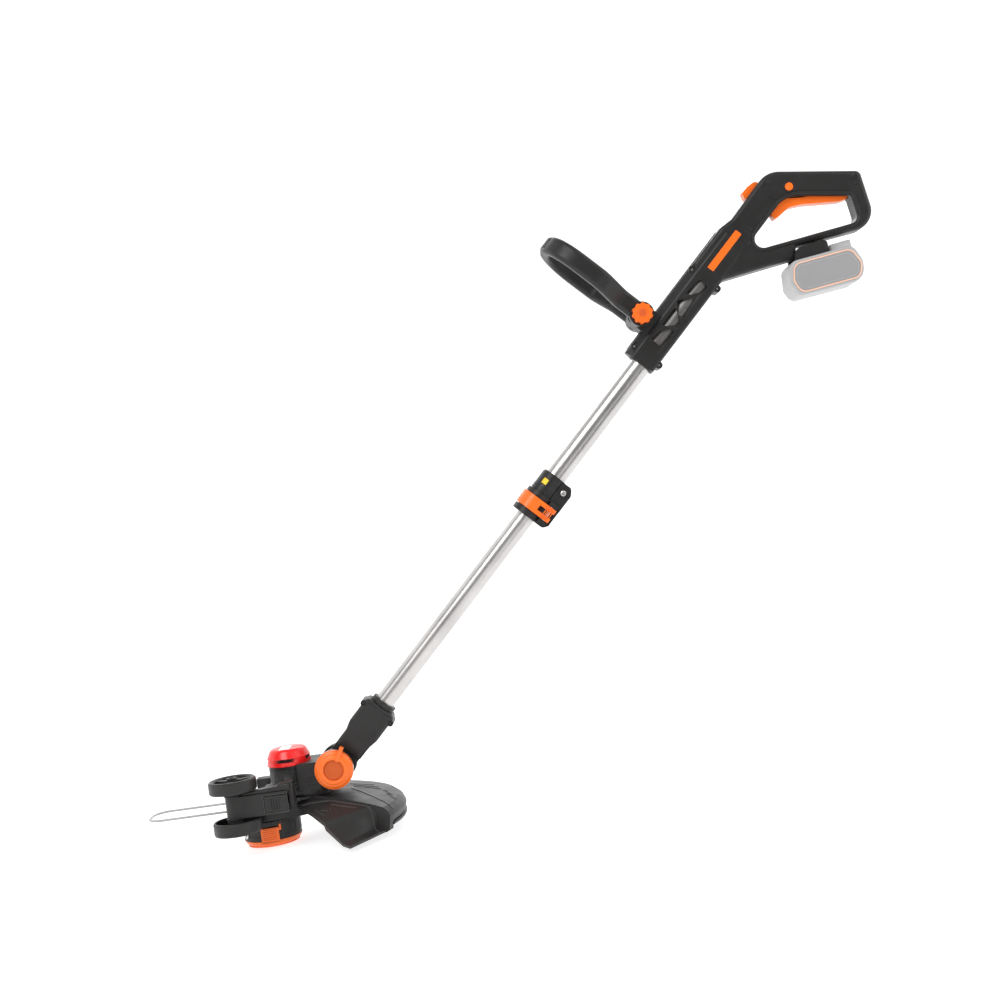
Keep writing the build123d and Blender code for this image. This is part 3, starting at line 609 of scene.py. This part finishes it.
# ---- battery ------------------------------------------------------------------------------------
def battery_details():
    """Vents and seam of the case, coloured rims of the side plates, and the latch's grip."""
    corners = ((9, 24), (15, 7), (94, 7), (100, 25), (91, 46), (14, 46))
    panel = rounded_outline([(x, z, 12) for x, z in corners], 8)
    cuts = Kit()
    for k in range(4):
        cuts.block(98 - 0.1 * k, 110, -16, 16, 16 + 5.2 * k, 17.4 + 5.2 * k)
    cuts.block(-4, 120, -0.35, 0.35, 0, 3.9)
    carved("battery_case", [cuts], BATTERY)
    for word, side in SIDES:
        rim = Kit().frame_ring(panel, -1.5, 0.0, *sorted((31.45 * side, 30.0 * side)))
        piece("battery_rim_" + word, rim, "battery", "rim_peach", BATTERY, bevel=0.3)
        field = Kit().frame_ring(grown(panel, -4.4), -0.5, 0.0, *sorted((31.2 * side, 30.6 * side)))
        piece("battery_inner_line_" + word, field, "battery", "battery_grey", BATTERY, bevel=0.15)
    grip = Kit()
    for step in range(4):
        x = 86.0 + 2.5 * step
        rib = rounded_outline([(x, 59.2, 0.3), (x + 1.3, 59.2, 0.3), (x + 1.3, 60.3, 0.5), (x, 60.3, 0.5)], 3)
        grip.prism(rib, -7.6, 7.6)
    piece("battery_latch_ribs", grip, "battery_latch", "battery_grey", BATTERY, bevel=0.2)


# ---- front handle -------------------------------------------------------------------------------
def front_handle_details():
    """Knob face, bolt head, hub ring, and ribs that follow the top of the loop."""
    knob = facing(CLAMP, 0, KNOB_FACE, 0, -1)
    piece("clamp_knob_face", Kit().turned([(0.01, 0.9), (3.4, 0.9), (4.6, 0.4), (5.2, -0.5), (0.01, -0.5)]),
          "clamp_knob", "knob_mark", knob)
    piece("clamp_knob_rim", Kit().turned([(7.0, -0.6), (8.6, -0.6), (8.4, 0.5), (7.2, 0.5)]),
          "clamp_knob", "orange", knob, bevel=0.2)
    angles = [math.radians(60 * k) for k in range(6)]
    hexagon = rounded_outline([(7.2 * math.cos(a), 7.2 * math.sin(a), 0.8) for a in angles], 3)
    piece("clamp_bolt_head", Kit().slab(hexagon, 0, 2.2, 0.7), "handle", "steel",
          facing(CLAMP, 0, 37.9, 0, 1))
    ring = Kit().turned([(12.6, -0.6), (15.2, -0.6), (14.9, 0.5), (12.9, 0.5)])
    piece("front_handle_hub_ring", ring, "front_handle", "shell_black", facing(CLAMP, 0, 32.5, 0, 1),
          bevel=0.2)
    ribs = Kit()
    arch_y, arch_z, arch_r = 8.0, 104.0, 51.5
    for step in range(-8, 9):
        y = 3.4 * step
        side = math.copysign(1, y)
        lean = math.asin(max(0.0, abs(y) - arch_y) / arch_r)
        foot = min(abs(y), arch_y) * side
        ribs.add(Kit().block(-8.0, 8.0, -0.8, 0.8, arch_r - 0.4, arch_r + 0.5),
                 Matrix.Translation((0, foot, arch_z)) @ Matrix.Rotation(-lean * side, 4, "X"))
    piece("front_grip_ribs", ribs, "front_handle", "shell_black", CLAMP, bevel=0.4)
    finished("front_handle", "shell_black")


# ---- lock ---------------------------------------------------------------------------------------
def lock_details():
    """Mark in the collar's window, its screw, rings round the collar, and ribs on the lever."""
    mark = Kit().add(Kit().turned([(16.2, 452.6), (17.1, 452.6), (17.1, 460.4), (16.2, 460.4)],
                                  start=-130, sweep=28, steps=8), QUARTER_Y)
    piece("lock_window_mark", mark, "handle", "mark_yellow", SHAFT)
    x, z = COLLAR_SCREW
    heads = Kit().add(screw_head(3.7, 1.5), facing(Matrix.Identity(4), x, -17.3, z, -1))
    piece("collar_screw_head", heads, "handle", "steel", SHAFT)
    seat = Kit().turned([(4.0, -2.6), (6.0, -2.6), (5.8, 0.5), (4.3, 0.5)])
    piece("collar_screw_seat", seat, "handle", "shell_black", facing(SHAFT, x, -15.6, z, -1), bevel=0.25)
    rings = Kit()
    for x in (443.4, 447.4):
        rings.add(Kit().turned([(17.4, x - 0.7), (18.5, x - 0.5), (18.5, x + 0.5), (17.4, x + 0.7)]),
                  QUARTER_Y)
    rings.add(Kit().turned([(14.1, 466.5), (17.2, 466.5), (17.0, 469.2), (16.2, 469.9), (14.1, 469.9)]),
              QUARTER_Y)
    piece("collar_rings", rings, "handle", "shell_black", SHAFT)
    grip = Kit()
    for step in range(5):
        z = -24.6 + 2.3 * step
        grip.block(416.2, 432.8, -23.7 - 0.06 * step, -22.2, z - 0.55, z + 0.55)
    piece("lock_lever_ribs", grip, "lock_lever", "orange", SHAFT, bevel=0.25)


# ---- neck and tilt knob -------------------------------------------------------------------------
def neck_details():
    """Recesses and screws of the neck, and the tilt knob's rings, knurl and sunk face, whose darker orange is
    painted shade of the recess.
    """
    for word, side in SIDES:
        cuts = Kit()
        for x, z in NECK_SCREWS:
            cuts.add(*recess(2.8, -2.4, 3, x, 18 * side, z))
        slot = rounded_outline([(50, -11, 4), (50, 11, 4), (80, 14, 4), (80, -14, 4)])
        cuts.prism(slot, *sorted((19.1 * side, 24 * side)))
        cuts.prism(stroke([(97.4, -17), (97.4, 17)], 1.0), *sorted((18.9 * side, 24 * side)))
        carved("neck_shell_" + word, [cuts], SHAFT)
        heads = Kit()
        for x, z in NECK_SCREWS:
            heads.add(screw_head(2.6, 1.2), facing(Matrix.Identity(4), x, 15.8 * side, z, side))
        piece("neck_screw_heads_" + word, heads, "neck", "dark_grey_and_highlight", SHAFT)
    knob = facing(PIVOT, 0, -40, 0, -1)
    piece("tilt_knob_ring", Kit().turned([(12.9, -3.0), (12.9, 0.2), (13.8, 1.0), (17.2, 1.0), (18.6, 0.1),
                                          (20.9, -0.2), (24.5, -2.9), (24.5, -3.4), (14, -3.4)], steps=96),
          "tilt_knob", "orange", knob)
    # Sunk face of the knob in darker orange: painted shade in the recess.
    sunk = Kit().turned([(0.01, -1.5), (12.2, -1.5), (12.95, -2.0), (12.95, -2.9), (0.01, -2.9)], steps=72)
    piece("tilt_knob_floor", sunk, "tilt_knob", "orange_painted_shade", knob)
    notches = Kit()
    for step in range(48):
        notches.add(Kit().block(24.2, 25.0, -0.55, 0.55, -9.4, -3.2),
                    Matrix.Rotation(math.radians(7.5 * step), 4, "Z"))
    piece("tilt_knob_knurl", notches, "tilt_knob", "orange", knob, bevel=0.2)
    cap = Kit().turned([(0.01, 2.2), (6, 1.9), (8.4, 1.1), (8.9, 0), (8.9, -0.5), (0.01, -0.5)])
    piece("tilt_pin_cap", cap, "head", "steel", facing(PIVOT, 0, 34, 0, 1))


# ---- guard --------------------------------------------------------------------------------------
def fan(profile, start, sweep, steps=60):
    """Part of a ring about the spool's axis."""
    return Kit().turned(profile, start=start, sweep=sweep, steps=steps)


def guard_details():
    """Moulded lines on the guard's top, in a paler black that paints a highlight along them, its rim bead,
    and ribs under it.
    """
    ridge = [(40, -36.4), (58.3, -37.3), (71.4, -38.9), (83.2, -40), (104.2, -49.2), (131.4, -60.2),
             (137.5, -65.2)]
    raised("guard_ridge", "guard", Kit().slab(stroke(ridge, 2.0), 20, 80), 0.9, "dark_grey_and_highlight")
    # Bead on the guard's corner, in the paler black that paints a highlight along the edge.
    corner = Kit().pipe([(137.5, -65.2, 37.6), (138.6, -66.6, 26), (139.9, -68.5, 13.2),
                         (146, -79.6, 10.6)], 0.9)
    piece("guard_corner", corner, "head", "dark_grey_and_highlight")
    marks = Kit()
    for line, width in (([(86.3, -48.4), (118.8, -61.6)], 1.7), ([(66.2, -54.2), (78.5, -69.0)], 1.1),
                        ([(74, -57.5), (83.5, -60.5)], 1.0), ([(85.2, -55.0), (86.5, -60.5)], 1.0)):
        marks.slab(stroke(line, width), 20, 80)
    raised("guard_marks", "guard", marks, 0.6, "dark_grey_and_highlight")
    crease = [(106, 14), (109.9, 10.9), (130, -16), (154.2, -46.7), (164, -58)]
    raised("guard_crease", "guard", Kit().slab(stroke(crease, 1.8), 20, 80), 0.7, "dark_grey_and_highlight")
    ribs = Kit()
    for line in ([(108, 30.2), (144, 22.6)], [(106, 40), (140, 36)], [(100, 52), (132, 52)]):
        ribs.slab(stroke(line, 2.6), 20, 80)
    raised("guard_ribs", "guard", ribs, 0.5, "head_black")
    arrows = Kit()
    for line in ([(150.5, 9), (160.5, -8)], [(156, -10), (166, -27)], [(147, 12), (153.5, 11.5)],
                 [(153, -7), (159, -8)]):
        arrows.slab(stroke(line, 1.5), 20, 80)
    raised("guard_arrows", "guard", arrows, 0.5, "grip_black")
    bead = fan([(171.0, 14.6), (173.2, 14.0), (175.4, 15.0), (175.8, 17.2), (173.4, 18.4), (171.6, 17)],
               -20.5, 78)
    piece("guard_rim_bead", bead, "head", "head_black")
    fins = Kit()
    for step in range(6):
        fin = Kit().prism(rounded_outline([(48, 55.2, 0), (119, 47.6, 0), (152, 39.8, 0), (152, 34, 3),
                                           (119, 43, 6), (48, 51, 0)]), -1.0, 1.0)
        fins.add(fin, Matrix.Rotation(math.radians(-12 + 13 * step), 4, "Z"))
    piece("guard_under_ribs", fins, "head", "head_black", bevel=0.3)


# ---- motor and bracket --------------------------------------------------------------------------
def motor_details():
    """Seam and vents of the housing, and the red cap with its grille and pale patch."""
    centre = Matrix.Translation((MOTOR_X, 0, 0))
    cuts = Kit()
    cuts.turned([(26.5, 93.9), (30, 93.9), (30, 94.7), (26.5, 94.7)], x=MOTOR_X)
    for side in (-1, 1):
        for z in (70, 75, 80):
            vent = rounded_outline([(58, z, 0.8), (70, z, 0.8), (70, z + 1.8, 0.8), (58, z + 1.8, 0.8)], 3)
            cuts.prism(vent, *sorted((29.0 * side, 33 * side)))
    carved("motor_housing", [cuts], HEAD)
    # Collar ring in the paler black that paints a highlight round the housing.
    collar = Kit().turned([(26.9, 77.0), (28.0, 76.6), (28.2, 75.4), (27.4, 74.2), (26.9, 74.0)], x=MOTOR_X)
    piece("motor_collar", collar, "head", "dark_grey_and_highlight")
    flange = Kit().turned([(28.2, 98.3), (28.9, 98.6), (28.9, 99.8), (28.2, 100.2)], x=MOTOR_X)
    piece("cap_rim", flange, "head", "red", bevel=0.2)
    cap = Kit().disc([(0, 98.3), (25.6, 98.3), (28.1, 98.3), (28.3, 103), (28.1, 108.2), (27.2, 109.4),
                      (24.3, 115.8), (22.6, 118.0), (20.2, 119.4), (12, 120.8), (0, 121.1)],
                     x=MOTOR_X, steps=96)
    openings = Kit()
    corners = ((-13.5, 103.4), (13.5, 103.4), (13.5, 107.8), (-13.5, 107.8))
    opening = rounded_outline([(x, z, 2.1) for x, z in corners], 5)
    for turn in (0, 90, 180, 270):
        openings.add(Kit().prism(opening, -40, -23.4),
                     centre @ Matrix.Rotation(math.radians(turn - 3), 4, "Z"))
    mesh = boolean(cap.mesh("motor_cap_moulded", HEAD), [("DIFFERENCE", openings.mesh("tool", HEAD))])
    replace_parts(shown("motor_cap_moulded", mesh, "head", "red"), "motor_cap")
    liner = Kit().turned([(22.0, 101.5), (24.6, 101.5), (24.6, 109.6), (22.0, 109.6)], x=MOTOR_X, steps=72)
    for step in range(72):
        liner.add(Kit().block(24.4, 26.2, -0.5, 0.5, 101.8, 109.4),
                  centre @ Matrix.Rotation(math.radians(5 * step), 4, "Z"))
    piece("cap_grille", liner, "head", "grip_black")
    patch = rounded_outline([(24.5, -19.5, 1.5), (25.5, 3, 1.5), (41, 1, 1.5), (38.5, -20.5, 1.5)])
    label = Kit().slab(patch, 112, 122.3)
    lifted = Kit().disc([(0, 110), (23.0, 110), (22.9, 118.1), (20.4, 119.6), (12, 121.0), (0, 121.3)],
                        x=MOTOR_X, steps=96)
    mesh = boolean(lifted.mesh("cap_patch", HEAD), [("INTERSECT", label.mesh("tool", HEAD))])
    shown("cap_patch", mesh, "head", "patch_white")


def bracket_details():
    """Shaped top of the wheel bracket, its rings, the latch frame and the wheels' edges in a paler black that
    paints a highlight on them, and the treads.
    """
    saddle = Kit()
    side = rounded_outline([(-32, 76.4, 0), (-32, 78.6, 1), (-12, 81.2, 8), (22, 83.2, 6), (40, 84.6, 2),
                            (40, 76.4, 0)])
    saddle.prism(side, -71.5, -57.5, 1.4)
    saddle.prism(rounded_outline([(24, 58, 1), (24, 84.5, 3), (43.5, 86.5, 3), (43.5, 58, 1)]),
                 -66, -44.8, 1.2)
    column = Kit().disc([(0, 60), (14.2, 60), (14.2, 90), (0, 90)], steps=48, **WHEEL_AXIS)
    mesh = boolean(saddle.mesh("bracket_saddle", HEAD), [("DIFFERENCE", column.mesh("tool", HEAD))],
                   crossing=True)
    shown("bracket_saddle", mesh, "head", "head_black")
    rings = Kit()
    for z in (49.2, 77.8):
        rings.turned([(11.4, z - 1.2), (12.4, z - 0.6), (12.4, z + 0.6), (11.4, z + 1.2)], **WHEEL_AXIS)
    piece("bracket_column_rings", rings, "head", "head_black")
    # Frame round the latch in the paler black: painted highlight along its edge.
    frame_line = rounded_outline([(6.4, 51.2, 3), (6.4, 75.0, 3), (37.5, 75.0, 2), (37.5, 51.2, 2)])
    edge = Kit().frame_ring(frame_line, -1.1, 0.0, -74.3, -73.2)
    piece("latch_surround", edge, "head", "dark_grey_and_highlight", bevel=0.25)
    # Edge rings of the wheels: painted highlight on their rims.
    for name, z, body in (("upper", 98.6, "wheel_upper"), ("lower", 46.6, "wheel_lower")):
        ring = Kit().turned([(26.6, z - 1.4), (28.6, z - 1.4), (28.2, z), (26.9, z)], steps=72, **WHEEL_AXIS)
        piece("wheel_edge_" + name, ring, body, "dark_grey_and_highlight")
    treads = {"wheel_upper": (86.2, 94.8), "wheel_lower": (34.8, 43.6)}
    for body, (z0, z1) in treads.items():
        kit = Kit()
        for z in (z0, z1):
            kit.turned([(29.6, z - 0.7), (30.0, z - 0.3), (30.0, z + 0.3), (29.6, z + 0.7)], steps=72,
                       **WHEEL_AXIS)
        piece(body + "_tread", kit, body, "head_black")
    end = Kit().turned([(1.2, 97.2), (3.6, 97.2), (3.4, 100.6), (2.4, 101.0), (1.2, 100.4)], **WHEEL_AXIS)
    piece("axle_end", end, "head", "head_black")
    for node in DARK_PINS:
        finished(node, "head_black")
    finished("plant_guard", "wire")


# ---- spool --------------------------------------------------------------------------------------
def spool_details():
    """Ribs and bands of the spool's housing and cap, the feed spring's coil and the turns of line."""
    ribs, foot = Kit(), Kit()
    for angle in (-86, 94):
        for step in range(6):
            z = 10.2 + 2.5 * step
            ribs.add(fan([(38.2, z), (39.0, z + 0.3), (39.0, z + 1.1), (38.2, z + 1.4)], angle - 12.5, 25,
                         16))
        for step in range(13):
            foot.add(Kit().block(37.9, 38.7, -0.45, 0.45, 7.0, 8.6), Matrix.Rotation(
                math.radians(angle - 15 + 2.5 * step), 4, "Z"))
    piece("spool_tab_ribs", ribs, "drum", "orange")
    piece("spool_tab_marks", foot, "drum", "knob_mark")
    ring = Kit().turned([(33.8, 3.4), (35.4, 4.9), (36.2, 6.4), (35.2, 6.8), (33.6, 5.2)], steps=96)
    piece("spool_cap_bevel", ring, "drum", "orange")
    grip = Kit()
    for step in range(60):
        grip.add(Kit().block(28.6, 33.2, -0.5, 0.5, 0.6, 2.4),
                 Matrix.Rotation(math.radians(6 * step), 4, "Z"))
    piece("spool_cap_grip", grip, "drum", "orange", bevel=0.2)
    drum = Kit()
    for z in (14.4, 29.4):
        for angle in (-66, 116):
            drum.add(fan([(36.6, z - 0.5), (37.2, z - 0.3), (37.2, z + 0.3), (36.6, z + 0.5)], angle + 8,
                         128))
    piece("drum_bands", drum, "drum", "head_black")
    upright = Kit()
    for step in range(24):
        if 3 <= step % 12 <= 8:
            upright.add(Kit().block(36.5, 37.3, -0.8, 0.8, 16, 28),
                        Matrix.Rotation(math.radians(15 * step + 94), 4, "Z"))
    piece("drum_ribs", upright, "drum", "head_black", bevel=0.25)
    points = []
    per_turn, count = 24, 24 * 8
    for step in range(count + 1):
        a = 2 * math.pi * step / per_turn
        points.append((7.2 * math.cos(a), 7.2 * math.sin(a), 8.6 + 12.4 * step / count))
    coil = Kit().pipe(points, 0.5, 8)
    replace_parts(piece("spool_spring_coil", coil, "drum", "steel"), "spool_spring")
    wound = Kit()
    for layer in range(3):
        for turn in range(8):
            r, z = 25.5 - 1.8 * layer, 7.4 + 2.1 * turn + 0.9 * (layer % 2)
            angles = [2 * math.pi * k / 10 for k in range(10)]
            wound.turned([(r + 0.95 * math.cos(t), z + 0.95 * math.sin(t)) for t in angles], steps=64)
    wound.turned([(12.1, 6.6), (20.4, 6.6), (20.4, 23.6), (12.1, 23.6)], steps=64)
    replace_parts(piece("wound_line_turns", wound, "spool", "line"), "wound_line")


for details in (rear_handle, battery_details, front_handle_details, lock_details, neck_details,
                guard_details, motor_details, bracket_details, spool_details):
    details()


# ---- stage --------------------------------------------------------------------------------------
def backdrop():
    """A pale floor that sweeps up into a wall behind and beside the object."""
    mesh = bpy.data.meshes.new("floor")
    bm = bmesh.new()
    rings = []
    steps = 72
    profile = [(0.5, 0.0), (6.0, 0.0)] + [
        (6.0 + 4 * math.sin(a), 4 - 4 * math.cos(a)) for a in (math.radians(9 * k) for k in range(1, 11))]
    profile.append((10.0, 12.0))
    for radius, height in profile:
        angles = [2 * math.pi * k / steps for k in range(steps)]
        rings.append([bm.verts.new((0.35 + radius * math.cos(a), radius * math.sin(a), height - 0.0005))
                      for a in angles])
    for low, high in zip(rings, rings[1:]):
        for k in range(steps):
            bm.faces.new((low[k], low[(k + 1) % steps], high[(k + 1) % steps], high[k]))
    bm.faces.new(rings[0])
    bmesh.ops.recalc_face_normals(bm, faces=bm.faces)
    bm.to_mesh(mesh)
    bm.free()
    for polygon in mesh.polygons:
        polygon.use_smooth = True
    obj = bpy.data.objects.new("floor", mesh)
    scene.collection.objects.link(obj)
    mat, nodes, links, shader = tree("floor_white")
    links.new(ramp(nodes, links, noise(nodes, links, 3, 4), (0.5, 0.5, 0.5), (0.53, 0.53, 0.53)),
              shader.inputs["Base Color"])
    shader.inputs["Emission Color"].default_value = (1, 1, 1, 1)
    shader.inputs["Emission Strength"].default_value = 0.74
    shader.inputs["Roughness"].default_value = 0.8
    shader.inputs["Specular IOR Level"].default_value = 0.2
    mesh.materials.append(mat)


def area_light(name, place, target, size, power):
    """Soft rectangular lamp aimed at a point."""
    data = bpy.data.lights.new(name, "AREA")
    data.shape = "RECTANGLE"
    data.size, data.size_y = size
    data.energy = power
    obj = bpy.data.objects.new(name, data)
    scene.collection.objects.link(obj)
    obj.location = place
    obj.rotation_mode = "QUATERNION"
    obj.rotation_quaternion = (Vector(target) - Vector(place)).to_track_quat("-Z", "Y")


backdrop()
world = bpy.data.worlds.new("studio")
scene.world = world
world.use_nodes = True
world.node_tree.nodes["Background"].inputs["Color"].default_value = (1, 1, 1, 1)
world.node_tree.nodes["Background"].inputs["Strength"].default_value = 0.6
CENTRE = (0.4, 0, 0.4)
area_light("key", (-0.9, -2.2, 2.6), CENTRE, (1.6, 1.6), 42)
area_light("fill", (2.6, -1.4, 1.2), CENTRE, (1.2, 2.0), 10)
area_light("rim", (0.2, 2.4, 2.2), CENTRE, (2.4, 1.0), 26)


def flag(name, direction, distance, size, shade, diffuse=False):
    """Card seen only in reflections, long along the shaft, that shapes the highlights of the tubes."""
    back = Vector(direction).normalized()
    along = Vector((1, 0, 1)).normalized()
    across = along.cross(back).normalized()
    centre = Vector((0.5, 0, 0.5)) + back * distance
    half_long, half_wide = along * size[0] / 2, across * size[1] / 2
    mesh = bpy.data.meshes.new(name)
    corners = [centre - half_long - half_wide, centre + half_long - half_wide,
               centre + half_long + half_wide, centre - half_long + half_wide]
    mesh.from_pydata(corners, [], [(0, 1, 2, 3)])
    obj = bpy.data.objects.new(name, mesh)
    scene.collection.objects.link(obj)
    mat, nodes, links, shader = tree(name)
    shader.inputs["Base Color"].default_value = (shade, shade, shade, 1)
    shader.inputs["Roughness"].default_value = 1.0
    mesh.materials.append(mat)
    obj.visible_camera = False
    obj.visible_diffuse = diffuse
    obj.visible_shadow = False
    obj.visible_transmission = False


def across_shaft(degrees):
    """Direction that a tube's side reflects: 0 towards the camera, 90 to the shaft's front, 180 behind."""
    a = math.radians(degrees)
    front = Vector((-1, 0, 1)).normalized()
    return Vector((0, -math.cos(a), 0)) + front * math.sin(a)


flag("flag_front", across_shaft(72), 2.2, (3.2, 0.75), 0.02)
flag("flag_low", across_shaft(-42), 0.75, (1.3, 0.3), 0.03)
flag("flag_camera_side", (0, -1, 0.12), 3.4, (5.0, 4.2), 0.1, diffuse=True)

# The camera looks along +Y and is rolled, so it is given as a matrix with its place in the last column.
camera_data = bpy.data.cameras.new("camera")
camera_data.lens = 50
camera_data.sensor_width = 36
camera = bpy.data.objects.new("camera", camera_data)
scene.collection.objects.link(camera)
ROLL = math.radians(7.8)
camera.matrix_world = Matrix((
    (math.cos(ROLL), math.sin(ROLL), 0, 0.3504),
    (0, 0, -1, -1.8057),
    (-math.sin(ROLL), math.cos(ROLL), 0, 0.4),
    (0, 0, 0, 1)))
camera_data.clip_end = 60
scene.camera = camera
scene.view_settings.view_transform = "Standard"
